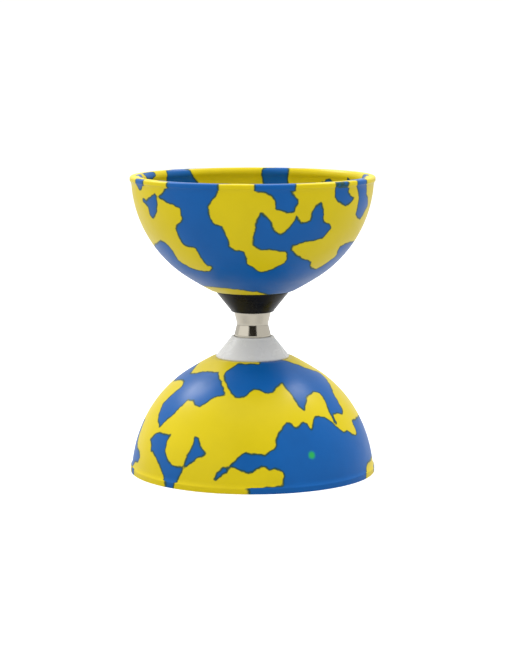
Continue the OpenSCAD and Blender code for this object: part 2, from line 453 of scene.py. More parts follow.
rubber = marbledRubber()
whitePlastic = plastic(
    "whitePlastic", (0.59, 0.59, 0.58, 1), drift=0.05, roughness=0.27, spread=0.06, bump=0.25)
blackPlastic = plastic(
    "blackPlastic", (0.006, 0.0055, 0.005, 1), drift=0.25, roughness=0.30, spread=0.07, bump=0.3, gloss=0.16)
blueNylon = plastic(
    "blueNylon", (0.03, 0.10, 0.45, 1), drift=0.15, roughness=0.45, spread=0.08, bump=0.3)
blackNylon = plastic(
    "blackNylon", (0.02, 0.02, 0.021, 1), drift=0.2, roughness=0.5, spread=0.08, bump=0.4)
sleeveSteel = metal(
    "sleeveSteel", (0.49, 0.455, 0.38, 1), drift=0.05, roughness=0.15, spread=0.04, pitch=9000.0, bump=0.3)
zincSteel = metal(
    "zincSteel", (0.60, 0.62, 0.65, 1), drift=0.16, roughness=0.34, spread=0.09, pitch=4000.0, bump=0.35)
bearingSteel = metal(
    "bearingSteel", (0.55, 0.55, 0.56, 1), drift=0.05, roughness=0.14, spread=0.04, pitch=12000.0, bump=0.15)
cageBrass = metal(
    "cageBrass", (0.72, 0.50, 0.17, 1), drift=0.12, roughness=0.28, spread=0.08, pitch=5000.0, bump=0.3)
print("materials made")


def dress(piece, material, slotName, body, *nodes):
    piece.data.materials.clear()
    piece.data.materials.append(material)
    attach(piece, body)
    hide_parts(*nodes)


cup = {
    "arcCentre": 0.8,         # the side's arc is centred this far off the axis
    "arcRadius": 59.2,
    "wall": 3.8,
    "coneFrom": 58,           # degrees up the arc where the nearly straight cone takes over
    "conePull": 8.5,          # how far the cone keeps the arc's slope before it eases down to the pole
    "poleRadius": 20.5,
    "padRadius": 20.7,
    "hole": 8.1,
    "cornerEase": 0.4,        # an edge's rounding starts this far before the corner
    "poleEase": (0.35, 0.2),  # and ends this far out of it and below it at the pole
    "padEase": 0.23,          # and this far below it at the pad
    "lipRadius": {"lower": 61.2, "upper": 60.7},   # the weight splays the lower rim a little
    "splay": {"lower": 0.7, "upper": 0.0},
    "splayHeight": 30.0,
    "lipHeight": 2.6,
    "lipRound": 1.0,
    "lipFrom": 59.3,          # only the outer skin beyond this radius counts as lip
    "lipBlend": 5.5,          # height at which the wall starts to curve out into the lip
    "lipHollow": (0.12, 0.35),     # the hollow's pull point, out of the wall and above the lip
    "lipShoulder": 0.45,      # the lip is at its widest this far below its top
    "rimInner": 57.2,
    "beadCentre": (58.6, 2.6),
    "beadRadius": 3.5,
    "beadTurn": (228, 155),
    "wallFrom": 8,            # degrees up the arc where the inner wall starts
    "beadBlend": (0.6, 0.5, 0.1),  # the point between bead and wall: shares across and up, and fullness
    "segments": 360,
    "steps": {"side": 63, "wall": 58, "lip": 9, "bead": 8, "cone": 12, "pole": 10, "pad": 8},
}


def cupOutline(which):
    steps = cup["steps"]
    ease = cup["cornerEase"]
    centre = (cup["arcCentre"], 0)
    inner = cup["arcRadius"] - cup["wall"]
    lipInner = cup["lipRadius"][which] - cup["lipRound"]
    lipStart = math.degrees(math.asin(cup["lipBlend"] / cup["arcRadius"]))
    side = arc(centre, cup["arcRadius"], cup["coneFrom"], lipStart, steps["side"])
    # the wall curves out into the lip through a soft hollow
    foot = (side[-1][0] + cup["lipHollow"][0], cup["lipHeight"] + cup["lipHollow"][1])
    shoulder = (lipInner + cup["lipRound"], cup["lipHeight"] - cup["lipShoulder"])
    lip = softCurve(side[-1], foot, shoulder, steps["lip"])[1:]
    lip += arc((lipInner, cup["lipRound"]), cup["lipRound"], 0, -90, 7)
    bead = arc(cup["beadCentre"], cup["beadRadius"], *cup["beadTurn"], steps["bead"])
    wall = arc(centre, inner, cup["wallFrom"], cup["coneFrom"], steps["wall"])
    across, up, fullness = cup["beadBlend"]
    between = (
        bead[-1][0] * (1 - across) + wall[0][0] * across + fullness,
        bead[-1][1] * (1 - up) + wall[0][1] * up,
    )
    slope = math.radians(cup["coneFrom"])
    pull = (side[0][0] - cup["conePull"] * math.sin(slope), side[0][1] + cup["conePull"] * math.cos(slope))
    poleEdge = (cup["poleRadius"] + cup["poleEase"][0], cupTop - cup["poleEase"][1])
    padEdge = (cup["padRadius"] + ease, padHeight - cup["padEase"])
    outline = straight((cup["hole"], cupTop), (cup["poleRadius"] - ease, cupTop), steps["pole"])
    outline += softCurve(poleEdge, pull, side[0], steps["cone"])[:-1] + side + lip
    outline += straight((lipInner - ease, 0), (cup["rimInner"], 0), 3) + bead + [between] + wall[:-1]
    outline += straight(wall[-1], padEdge, steps["pole"])
    outline += straight((cup["padRadius"] - ease, padHeight), (cup["hole"], padHeight), steps["pad"])
    outline += straight((cup["hole"], padHeight + 1), (cup["hole"], cupTop - 1), 2)
    spread = []
    for radius, height in outline:
        low = max(0, 1 - height / cup["splayHeight"])
        out = cup["splay"][which] * low ** 2
        spread.append((min(radius + out, cup["lipRadius"][which]), height))
    return spread


# Blue patches of the lower cup's outside: azimuth in degrees from the front, and depth from the rim
lowerPatches = {
    "leftShoulder": [
        (-100, 54), (-84, 52.5), (-72, 50), (-62, 51), (-56, 52), (-48, 52.5), (-37, 52.5), (-31, 50.5),
        (-27, 49), (-22, 46.5), (-19, 44), (-25, 43.5), (-30, 41), (-34, 38.5), (-38, 39), (-41, 40.5),
        (-46, 40.5), (-50, 34.5), (-55, 29.5), (-58, 26.5), (-61, 28.5), (-65, 32), (-68, 36.5),
        (-65, 41), (-62, 45), (-66, 47), (-74, 47), (-88, 45), (-104, 47), (-112, 51)],
    "frontShoulder": [
        (-20, 56.5), (-28, 53), (-28, 52), (-24, 50), (-19, 47.5), (-15, 45), (-12, 43.5), (-9, 43),
        (-6, 43.5), (-3, 45), (1, 47), (5, 46.5), (8, 45.5), (11, 45), (15, 45.5), (18, 47), (22, 48.5),
        (25, 49), (26.5, 46), (28, 44), (29, 41), (30, 38.5), (32, 37), (34, 39), (38, 42), (41, 43),
        (47, 44), (52, 43), (52.5, 41.5), (50.5, 36), (50, 33), (50.5, 29), (51.5, 29), (51.5, 33.5),
        (56, 33.5), (60.5, 32.5), (63.5, 34.5), (65.5, 39.5), (67.5, 42), (73, 44), (79, 46.5), (84, 49),
        (80, 50.5), (71, 52.5), (64, 54.5), (56, 56), (50, 57.5), (14, 57.5), (8, 56.5)],
    "rightFlank": [
        (-10.5, 13), (-8.5, 15), (-7, 17), (-4.5, 18.5), (-3, 19), (3, 18.5), (6, 18), (8, 19), (8.5, 20),
        (11, 20.5), (12, 22.5), (12, 25), (13.5, 27.5), (15.5, 29), (17.5, 31), (19, 32), (21.5, 31.5),
        (23.5, 29.5), (25, 30), (27.5, 31.5), (29, 32), (30.5, 31), (31.5, 29), (32.5, 28), (34, 30),
        (36, 32.5), (37.5, 33.5), (40.5, 33.5), (44.5, 32.5), (47, 30.5), (49.5, 28.5), (52, 26),
        (54.5, 24.5), (58, 24.5), (61.5, 22.5), (64.5, 21.5), (67, 22.5), (67.5, 28), (78, 28),
        (87, 27.5), (100, 27), (110, 20), (104, 12), (88, 8), (78, 7), (70, 6.5), (68, 4), (66, 1.5),
        (66, -1), (-6, -1), (-2.5, 1), (-0.5, 2), (2, 2.5), (6, 3), (12, 3.5), (14, 4), (15, 8), (14, 10),
        (12, 11.5), (10, 12), (8, 11.5), (6.5, 12.5), (4, 13), (2, 12), (0, 10.5), (-2, 10), (-4.5, 11),
        (-7.5, 12)],
    "flankTail": [
        (-10.5, 12.5), (-12.5, 12.5), (-14.5, 12), (-15.5, 10.5), (-17, 8.5), (-18, 6.5), (-17.5, 6),
        (-16, 7), (-14, 9), (-12, 10), (-11.5, 11.5)],
    "frontFleck": [
        (-29.5, 25), (-28.5, 24.5), (-26.5, 21.5), (-24.5, 19.5), (-23, 18), (-24.5, 17), (-27, 16),
        (-28.5, 14.5), (-30.5, 13), (-32, 11.5), (-33.5, 11), (-33.5, 13.5), (-32.5, 16.5), (-31, 20),
        (-30.5, 23), (-30.5, 25)],
    "leftFlank": [
        (-56, 24), (-52, 24), (-46.5, 24.5), (-47.5, 22.5), (-47.5, 17.5), (-46, 14.5), (-44, 12.5),
        (-41.5, 11), (-38.5, 10.5), (-34.5, 10.5), (-35, 8), (-36.5, 5), (-38, 2), (-39.5, -1),
        (-41.5, -1), (-43, 1), (-45, 2.5), (-45, 4), (-46.5, 6), (-48, 8.5), (-50, 10.5), (-53.5, 13.5),
        (-56.5, 15), (-58.5, 15), (-59, 17.5), (-62, 20), (-60, 22), (-58.5, 23.5)],
    "leftEdge": [
        (-84, 26), (-82, 20), (-80, 15), (-76, 13), (-71, 12), (-69.5, 10), (-71, 7.5), (-77, 6),
        (-80, 3), (-80, -1), (-120, -1), (-125, 10), (-110, 20), (-95, 26)],
    "leftLip": [(-95, -1), (-74, -1), (-74, 2.5), (-95, 2.5)],
    "rightLip": [(81, -1), (100, -1), (100, 2.5), (81, 2.5)],
}

# Blue patches of the upper cup's outside, in the same terms
upperPatches = {
    "crown": [
        (-40, -1), (-42.5, 2), (-44, 3.5), (-46, 6), (-48.5, 7.5), (-46, 8.5), (-44, 9.5), (-40.5, 10.5),
        (-37.5, 11.5), (-35.5, 12), (-35.5, 17), (-36.5, 19), (-38, 19.5), (-40, 21), (-41, 22.5),
        (-40.5, 24.5), (-40.5, 27), (-40, 29), (-38.5, 30.5), (-35, 31), (-32, 31.5), (-32, 33.5),
        (-31, 36), (-30.5, 39), (-29.5, 40.5), (-27, 40.5), (-27, 42), (-30.5, 43.5), (-35.5, 44),
        (-41.5, 43.5), (-45, 43), (-48, 41.5), (-51, 40.5), (-53, 39), (-52.5, 36.5), (-52, 34.5),
        (-53, 32), (-54.5, 30.5), (-58, 29.5), (-66, 31.5), (-80, 34.5), (-95, 36), (-110, 42),
        (-100, 50), (-80, 53), (-60, 53.5), (-42, 53), (-28, 53), (-18.5, 53.5), (-8, 54), (0, 55),
        (5.5, 54.5), (10, 55.5), (15, 56), (22, 57), (60, 57), (90, 54), (110, 48), (100, 38), (90, 33),
        (75, 31.5), (62.5, 31.5), (57.5, 32.5), (58, 35), (60.5, 37.5), (57, 39.5), (55, 41),
        (52.5, 42.5), (49, 43.5), (42.5, 42.5), (39.5, 41), (38, 39), (35, 38), (30, 37), (26.5, 35.5),
        (23, 33.5), (21, 32), (21.5, 30), (24.5, 29), (28, 28), (34.5, 27.5), (38, 27), (39.5, 26),
        (40.5, 24), (42, 22), (40.5, 20.5), (36.5, 19), (35.5, 17), (34.5, 12.5), (33, 9), (30.5, 11),
        (29, 13.5), (28.5, 17.5), (26.5, 18.5), (24, 19), (22, 17.5), (21, 15.5), (20.5, 16.5),
        (19.5, 18.5), (18, 21), (16, 23), (13.5, 24), (12, 23.5), (10, 21.5), (9, 19), (7.5, 16.5),
        (5.5, 15), (4.5, 13.5), (3.5, 14), (2.5, 16), (1.5, 19), (1, 22.5), (0.5, 25.5), (0, 27.5),
        (0.5, 29), (2, 30.5), (5, 31.5), (9, 31.5), (12.5, 32), (16, 32.5), (18.5, 33), (20, 34.5),
        (20.5, 36.5), (19.5, 38.5), (17.5, 40), (13.5, 41.5), (10, 43), (6.5, 43.5), (4, 43), (2, 42),
        (-0.5, 40.5), (-2.5, 39.5), (-3.5, 38.5), (-4, 34.5), (-5, 32.5), (-9.5, 32), (-12, 30.5),
        (-12.5, 27), (-13.5, 24.5), (-14.5, 21), (-15.5, 20), (-18, 19.5), (-19.5, 18.5), (-20.5, 16.5),
        (-20.5, 13.5), (-21, 11), (-20, 9.5), (-18.5, 7.5), (-17, 5.5), (-16, 2.5), (-15, -1)],
    "rimMiddle": [
        (1, -1), (1, 2.5), (4, 3.5), (8, 4.5), (9.5, 6.5), (10.5, 9), (11, 11.5), (13, 12.5),
        (16.5, 13.5), (19.5, 13), (20, 11), (21, 9), (21, 7.5), (19.5, 6), (18, 4.5), (17.5, 3.5),
        (19.5, 3), (19.5, -1)],
    "rimRight": [
        (41, 1), (48.5, 1), (50, 2.5), (50, 5.5), (52, 7.5), (54.5, 8.5), (53, 10), (51, 11), (49, 11.5),
        (46.5, 10.5), (43, 9), (41.5, 7), (41, 4)],
    "rightEdge": [
        (55.5, -1), (63.5, -1), (67, 3.5), (68, 7.5), (72, 11), (73.5, 13.5), (70.5, 16), (69, 18.5),
        (67, 19.5), (62.5, 18.5), (60, 16.5), (60, 10), (59.5, 7.5), (58, 5), (56.5, 3)],
    "leftFleck": [
        (-51.5, 6), (-50.5, 7.5), (-50.5, 10), (-52, 14.5), (-55, 17.5), (-57.5, 18.5), (-59, 16.5),
        (-59, 12.5), (-61, 12), (-63.5, 10.5), (-63.5, 9), (-59.5, 10), (-57.5, 9), (-54.5, 7.5)],
    "leftRim": [(-68, -1), (-58.5, -1), (-61, 2), (-63.5, 4.5), (-66, 5), (-67.5, 4.5), (-69.5, 2.5)],
}

# Blue patches inside the upper cup, near its rim at the back
upperInsidePatches = {
    "left": [
        (231.5, -1), (216, -1), (214, 3.5), (213, 5.5), (208, 7), (212, 9), (220, 14), (228, 12),
        (232, 6)],
    "farLeft": [(243, -1), (256, -1), (254, 3), (246, 3.5), (243, 2)],
    "middle": [
        (173, -1), (175, 1.5), (175, 4), (174, 8), (173, 14), (168, 17), (163, 15), (161, 8),
        (160.5, -1)],
    "right": [
        (147, 8.5), (142, 7), (138, 6.5), (137, 5), (134, 4.5), (132.5, 6.5), (130, 9), (134, 12),
        (142, 11)],
    "farRight": [(118.5, 2.5), (121.5, 6), (122, 9), (117.5, 8), (117.5, 4.5)],
}


# How the blue and yellow are laid over a cup, in degrees from the front and in millimetres
marbling = {
    "borderSpacing": 0.25,
    "facet": 6.5,
    "blot": 19.0,
    "islandReach": 60,             # the islands are strewn over a ball of this radius
    "islandFloor": -8,
    "stray": 0.07,                 # share of the facets that take the other colour
    "skin": (1.2, 0.9),            # the outside's pattern fades out between the two skins
    "pole": (2.5, 1.0),
    "lipReach": 0.3,
    "back": (98, 114),             # where the drawn outside gives way to the islands
    "inside": (96, 106, 254, 264),
    "insideDepth": (13, 19),
}


def searchTree(points):
    tree = KDTree(len(points))
    for i, point in enumerate(points):
        tree.insert(point, i)
    tree.balance()
    return tree


def gaps(points, places):
    tree = searchTree(points)
    return np.array([tree.find(place)[2] for place in places])


# A point of a cup's skin from its azimuth and depth, in millimetres
def onSide(azimuth, depth, arcRadius):
    depth = np.clip(depth, 0, None)
    touchDepth = arcRadius * math.sin(math.radians(cup["coneFrom"]))
    touchRadius = cup["arcCentre"] + arcRadius * math.cos(math.radians(cup["coneFrom"]))
    onArc = cup["arcCentre"] + np.sqrt(np.clip(arcRadius ** 2 - depth ** 2, 0, None))
    onCone = touchRadius - (depth - touchDepth) * math.tan(math.radians(cup["coneFrom"]))
    radius = np.where(depth < touchDepth, onArc, onCone)
    turn = np.radians(azimuth)
    return np.stack([radius * np.sin(turn), -radius * np.cos(turn), depth], -1)


# How far each place is inside (above zero) or outside (below zero) the nearest patch, in millimetres
def distanceToPatches(patches, azimuth, depth, arcRadius):
    inside = np.zeros(len(azimuth), bool)
    border = []
    for outline in patches.values():
        for (a0, d0), (a1, d1) in zip(outline, outline[1:] + outline[:1]):
            count = max(2, int(math.hypot(a1 - a0, d1 - d0) / marbling["borderSpacing"]))
            share = np.arange(count) / count
            border.append(onSide(a0 + (a1 - a0) * share, d0 + (d1 - d0) * share, arcRadius))
            if d0 != d1:
                crosses = (depth >= min(d0, d1)) & (depth < max(d0, d1))
                inside ^= crosses & (azimuth < a0 + (depth - d0) * (a1 - a0) / (d1 - d0))
    gap = gaps(np.concatenate(border), onSide(azimuth, depth, arcRadius))
    return np.where(inside, gap, -gap)


# Angular islands where nothing else is drawn: small facets, each in the colour of the blot round it
def islandField(places, seed):
    chance = np.random.RandomState(seed)
    reach = marbling["islandReach"]

    def scatter(spacing):
        count = int(4 * math.pi * reach ** 2 / spacing ** 2)
        spots = chance.normal(size=(count, 3))
        spots *= reach / np.linalg.norm(spots, axis=1)[:, None]
        return spots[spots[:, 2] > marbling["islandFloor"]]

    facets = scatter(marbling["facet"])
    blots = scatter(marbling["blot"])
    blueBlot = np.arange(len(blots)) % 2 == 0
    near = np.linalg.norm(facets[:, None] - blots[None], axis=2).argmin(1)
    blue = blueBlot[near] ^ (chance.uniform(size=len(facets)) < marbling["stray"])
    out = places * (reach / np.linalg.norm(places, axis=1))[:, None]
    return (gaps(facets[~blue], out) - gaps(facets[blue], out)) / 2


def smoothStep(value, low, high):
    share = np.clip((value - low) / (high - low), 0, 1)
    return share * share * (3 - 2 * share)


# The same border with true distances to it, so that its seam is as thin where two patterns meet
def evenDistance(piece, places, value):
    ends = np.zeros(len(piece.data.edges) * 2, int)
    piece.data.edges.foreach_get("vertices", ends)
    first, second = ends.reshape(-1, 2).T
    crossed = (value[first] > 0) != (value[second] > 0)
    first, second = first[crossed], second[crossed]
    share = (value[first] / (value[first] - value[second]))[:, None]
    border = places[first] * (1 - share) + places[second] * share
    gap = gaps(border, places)
    return np.where(value > 0, gap, -gap)


# Writes each vertex's distance to the edge between blue and yellow into the mesh
def markPatches(piece, upper, outside, inside, seed):
    coords = np.zeros(len(piece.data.vertices) * 3)
    piece.data.vertices.foreach_get("co", coords)
    places = coords.reshape(-1, 3) / mm
    if upper:
        places[:, 2] = totalHeight / mm - places[:, 2]
    azimuth = np.degrees(np.arctan2(places[:, 0], -places[:, 1]))
    radius = np.hypot(places[:, 0], places[:, 1])
    depth = places[:, 2].copy()
    innerArc = cup["arcRadius"] - cup["wall"]
    side = np.hypot(radius - cup["arcCentre"], depth)
    skinFrom, skinTo = marbling["skin"]
    poleFrom, poleTo = marbling["pole"]
    outward = smoothStep(side, innerArc + skinFrom, cup["arcRadius"] - skinTo)
    outward = np.maximum(outward, smoothStep(depth, cupTop - poleFrom, cupTop - poleTo))
    # the lip's band holds one colour up its height
    onLip = (depth < cup["lipHeight"] + marbling["lipReach"]) & (radius > cup["lipFrom"])
    drawnDepth = np.where(onLip, cup["lipHeight"] / 2, depth)
    drawn = distanceToPatches(outside, azimuth, drawnDepth, cup["arcRadius"])
    back = smoothStep(np.abs(azimuth), *marbling["back"])
    outer = drawn * (1 - back) + islandField(places, seed) * back
    inner = islandField(places, seed + 1)
    if inside:
        around = azimuth % 360
        shown = distanceToPatches(inside, around, depth, innerArc)
        start, full, ebb, end = marbling["inside"]
        seen = smoothStep(around, start, full) * (1 - smoothStep(around, ebb, end))
        seen = seen * (1 - smoothStep(depth, *marbling["insideDepth"]))
        inner = inner * (1 - seen) + shown * seen
    value = outer * outward + inner * (1 - outward)
    drawnShare = outward * (1 - back)
    value = value * drawnShare + evenDistance(piece, places, value) * (1 - drawnShare)
    layer = piece.data.attributes.new(name="patchEdge", type="FLOAT", domain="POINT")
    layer.data.foreach_set("value", value.astype(np.float32))


def makeCups():
    lower = turned("moulded_lower_cup", cupOutline("lower"), steps=cup["segments"])
    upright = turned("upright", cupOutline("upper"), steps=cup["segments"])
    upper = upperCopy(upright, "moulded_upper_cup")
    bpy.data.objects.remove(upright)
    markPatches(lower, False, lowerPatches, None, 11)
    markPatches(upper, True, upperPatches, upperInsidePatches, 23)
    for piece, node in ((lower, "lower_cup"), (upper, "upper_cup")):
        smooth(piece)
        dress(piece, rubber, "cup_rubber", "rotor", node)


makeCups()
print("cups made")


hub = {
    "base": 18.2,
    "land": 0.8,
    "nose": 11.0,
    "noseEdge": 0.9,
    "noseEase": 0.3,          # share of the nose's edge that its corner is drawn in
    "noseDrop": 0.3,
    "pocket": 9.45,
    "pocketDepth": 7.0,
    "bore": 3.05,
    "spigot": 8.0,
    "easing": 0.16,
    "hollow": (11.0, 16.4),   # the moulded-out space between the ribs
    "hollowTop": 5.5,
    "hollowEase": 0.6,
    "ribs": 6,
    "ribAngle": 6.5,
}


def makeHubs():
    pocketFloor = hubTop - hub["pocketDepth"]
    rim = hubTop - hub["noseDrop"]
    outline = [
        (hub["bore"], padHeight), (hub["spigot"], padHeight), (hub["spigot"], cupTop), (hub["base"], cupTop),
        (hub["base"], cupTop + hub["land"]), (hub["nose"], rim - hub["noseEdge"]),
        (hub["nose"] - hub["noseEdge"] * hub["noseEase"], rim - hub["noseEdge"] * hub["noseEase"]),
        (hub["nose"] - hub["noseEdge"], rim), (hub["pocket"], rim), (hub["pocket"], pocketFloor),
        (hub["bore"], pocketFloor),
    ]
    lower = turned("moulded_lower_hub", outline, steps=128, easing=hub["easing"])
    inner, outer = hub["hollow"]
    hollow = turned("hollow", [
        (inner, cupTop - 1), (outer, cupTop - 1), (outer, cupTop + hub["hollowEase"]),
        (inner + hub["hollowEase"], cupTop + hub["hollowTop"]), (inner, cupTop + hub["hollowTop"]),
    ], steps=12, angle=360 / hub["ribs"] - hub["ribAngle"])
    repeatAround(hollow, hub["ribs"])
    combine(lower, hollow, "DIFFERENCE")
    upper = upperCopy(lower, "moulded_upper_hub")
    for piece, node, material, slotName in (
        (lower, "lower_hub", whitePlastic, "white_plastic"),
        (upper, "upper_hub", blackPlastic, "black_plastic"),
    ):
        smooth(piece, 30)
        dress(piece, material, slotName, "rotor", node)


makeHubs()
print("hubs made")


sleeve = {
    "waist": 7.95,
    "waistRound": 4.0,
    "flare": 14,             # degrees
    "land": 0.6,
    "insideHub": 6.4,
    "bearingBore": 6.5,
    "clutchBore": 6.0,
    "clutchLength": 12.0,
    "easing": 0.12,
}


def makeSleeve():
    flare = math.radians(sleeve["flare"])
    middle = midHeight / mm
    halfGap = middle - hubTop
    tangentRadius = sleeve["waist"] + sleeve["waistRound"] * (1 - math.cos(flare))
    tangentHeight = sleeve["waistRound"] * math.sin(flare)
    endRadius = tangentRadius + (halfGap - sleeve["land"] - tangentHeight) * math.tan(flare)
    half = sleeve["clutchLength"] / 2
    end = halfGap + sleeve["insideHub"]
    waist = arc((sleeve["waist"] + sleeve["waistRound"], middle), sleeve["waistRound"],
                180 + sleeve["flare"], 180 - sleeve["flare"], 10)
    outline = [
        (sleeve["bearingBore"], middle - end), (endRadius, middle - end),
        (endRadius, hubTop + sleeve["land"]),
        *waist, (endRadius, 2 * middle - hubTop - sleeve["land"]), (endRadius, middle + end),
        (sleeve["bearingBore"], middle + end), (sleeve["bearingBore"], middle + half),
        (sleeve["clutchBore"], middle + half), (sleeve["clutchBore"], middle - half),
        (sleeve["bearingBore"], middle - half),
    ]
    piece = turned("turned_axle_sleeve", outline, steps=192, easing=sleeve["easing"])
    smooth(piece, 25)
    dress(piece, sleeveSteel, "sleeve_steel", "sleeve", "axle_sleeve")


makeSleeve()
print("sleeve made")


clamp = {
    "radius": 18.5,
    "thick": 2.2,
    "edge": 0.8,
    "boss": 10.5,
    "bossHeight": 4.2,
    "bore": 3.05,
    "ribs": 8,
    "ribWidth": 1.5,
    "ribHeight": 1.0,
    "ribFrom": 9.6,
    "ribTo": 16.0,
    "ribRoot": 1.0,           # how deep a rib reaches into the plate
    "ribEasing": 0.3,
    "easing": 0.25,
}


def makeClampPlates():
    face = padHeight - clamp["thick"]
    outline = [
        (clamp["bore"], padHeight), (clamp["radius"], padHeight), (clamp["radius"], face + clamp["edge"]),
        (clamp["radius"] - clamp["edge"], face), (clamp["boss"], face),
        (clamp["boss"], padHeight - clamp["bossHeight"]), (clamp["bore"], padHeight - clamp["bossHeight"]),
    ]
    lower = turned("ribbed_lower_clamp_plate", outline, steps=128, easing=clamp["easing"])
    length = clamp["ribTo"] - clamp["ribFrom"]
    middle = face - clamp["ribHeight"] / 2 + clamp["ribRoot"] / 2
    deselectAll()
    bpy.ops.mesh.primitive_cube_add(
        size=mm,
        location=((clamp["ribFrom"] + length / 2) * mm, 0, middle * mm),
        scale=(length, clamp["ribWidth"], clamp["ribHeight"] + clamp["ribRoot"]),
    )
    rib = bpy.context.active_object
    bpy.ops.object.transform_apply(location=True, rotation=True, scale=True)
    editAll(rib)
    bpy.ops.mesh.bevel(offset=clamp["ribEasing"] * mm, segments=3, affect="EDGES")
    objectMode()
    repeatAround(rib, clamp["ribs"])
    combine(lower, rib, "UNION")
    upper = upperCopy(lower, "ribbed_upper_clamp_plate")
    for piece, node, material, slotName in (
        (lower, "lower_clamp_plate", whitePlastic, "white_plastic"),
        (upper, "upper_clamp_plate", blackPlastic, "black_plastic"),
    ):
        smooth(piece, 30)
        dress(piece, material, slotName, "rotor", node)


washer = {"radius": 6.0, "thick": 1.6, "bore": 3.05, "easing": 0.22}
nut = {
    "flats": 10.0,
    "height": 5.0,
    "bore": 2.75,
    "collar": 4.4,
    "collarHeight": 1.2,
    "insert": 3.8,
    "insertHeight": 1.0,
    "insertGap": 0.02,
    "insertEasing": 0.15,
    "chamfer": 0.8,
    "chamferDrop": (0.55, 0.9),    # height of the chamfer at the seat and at the other end
    "collarEdge": (0.3, 0.35),
    "spare": 0.5,                  # how far the turned outline stands clear of the hexagon's corners
    "easing": 0.12,
}
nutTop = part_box("lower_washer")[0].z / mm
nutBottom = nutTop - nut["height"]
collarBottom = nutBottom - nut["collarHeight"]


def makeWashers():
    top = nutTop + washer["thick"]
    outline = [
        (washer["bore"], nutTop), (washer["radius"], nutTop), (washer["radius"], top), (washer["bore"], top),
    ]
    lower = turned("pressed_lower_washer", outline, steps=72, easing=washer["easing"])
    upper = upperCopy(lower, "pressed_upper_washer")
    for piece, node in ((lower, "lower_washer"), (upper, "upper_washer")):
        smooth(piece)
        dress(piece, zincSteel, "zinc_steel", "rotor", node)


# A hexagon bar cut to the turned outline of a lock nut, which leaves its curved chamfers
def makeNuts():
    corner = nut["flats"] / 2 / math.cos(math.radians(30))
    clear = corner + nut["spare"]
    seatDrop, endDrop = nut["chamferDrop"]
    edgeIn, edgeUp = nut["collarEdge"]
    socket = nut["insert"] + nut["insertGap"]
    insertTop = collarBottom + nut["insertHeight"]
    outline = [
        (nut["bore"], nutTop), (corner - nut["chamfer"] * 0.5, nutTop), (clear, nutTop - seatDrop),
        (clear, nutBottom + endDrop), (corner - nut["chamfer"], nutBottom), (nut["collar"], nutBottom),
        (nut["collar"], collarBottom + edgeUp), (nut["collar"] - edgeIn, collarBottom),
        (socket, collarBottom), (socket, insertTop), (nut["bore"], insertTop),
    ]
    lower = turned("cut_lower_lock_nut", outline, steps=96, easing=nut["easing"])
    deselectAll()
    bpy.ops.mesh.primitive_cylinder_add(
        vertices=6, radius=corner * mm, depth=12 * mm, location=(0, 0, (nutTop - 4) * mm))
    bar = bpy.context.active_object
    bpy.ops.object.transform_apply(location=True, rotation=True, scale=True)
    combine(lower, bar, "INTERSECT")
    ringBore = nut["bore"] + nut["insertGap"]
    insert = turned("pressed_lower_nut_insert", [
        (ringBore, collarBottom), (nut["insert"], collarBottom),
        (nut["insert"], insertTop), (ringBore, insertTop),
    ], steps=72, easing=nut["insertEasing"])
    for piece, name, node, material, slotName in (
        (lower, "cut_upper_lock_nut", "lock_nut", zincSteel, "zinc_steel"),
        (insert, "pressed_upper_nut_insert", "nut_insert", blueNylon, "nut_nylon"),
    ):
        smooth(piece, 25)
        upper = upperCopy(piece, name)
        dress(piece, material, slotName, "rotor", "lower_" + node)
        dress(upper, material, slotName, "rotor", "upper_" + node)


stud = {
    "radius": 2.97,
    "root": 2.42,
    "pitch": 1.0,
    "thread": (0.4, 0.55, 0.95),   # shares of the pitch where the crest starts, where it ends, and the root
    "steps": 32,
    "spareTurns": 5,
    "chamfer": 0.6,
}


# A threaded rod: one turn of the thread's outline wound down the axis, then cut square and chamfered
def makeSpindle():
    low, high = (c.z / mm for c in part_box("spindle"))
    depth = stud["radius"] - stud["root"]
    pitch = stud["pitch"]
    crest, fall, foot = (pitch * share for share in stud["thread"])
    outline = [
        (stud["root"], 0), (stud["root"] + depth, crest), (stud["root"] + depth, fall),
        (stud["root"], foot), (stud["root"], pitch),
    ]
    turns = int((high - low) / pitch) + stud["spareTurns"]
    piece = startVertex("threaded_spindle", (stud["root"], 0, high + 2 * pitch))
    extrudeThrough(outline)
    bpy.ops.mesh.select_all(action="SELECT")
    bpy.ops.mesh.screw(steps=stud["steps"], turns=turns, center=(0, 0, 0), axis=(0, 0, 1))
    mergeDoubles()
    bpy.ops.transform.resize(value=(1, -1, 1), center_override=(0, 0, 0))  # makes it a right-handed thread
    bpy.ops.mesh.normals_make_consistent(inside=False)
    for height, way in ((low, -1), (high, 1)):
        bpy.ops.mesh.bisect(
            plane_co=(0, 0, height * mm), plane_no=(0, 0, way), use_fill=True, clear_outer=True,
            threshold=1e-7)
        bpy.ops.mesh.select_all(action="SELECT")
    bpy.ops.mesh.normals_make_consistent(inside=False)
    objectMode()
    for vertex in piece.data.vertices:  # the chamfer that lets a nut start on the thread
        room = min(vertex.co.z / mm - low, high - vertex.co.z / mm)
        limit = (stud["radius"] - stud["chamfer"] + room) * mm
        radius = math.hypot(vertex.co.x, vertex.co.y)
        if radius > limit:
            vertex.co.x *= limit / radius
            vertex.co.y *= limit / radius
    smooth(piece, 30)
    dress(piece, zincSteel, "zinc_steel", "rotor", "spindle")


makeClampPlates()
makeWashers()
makeNuts()
makeSpindle()
print("clamp parts made")


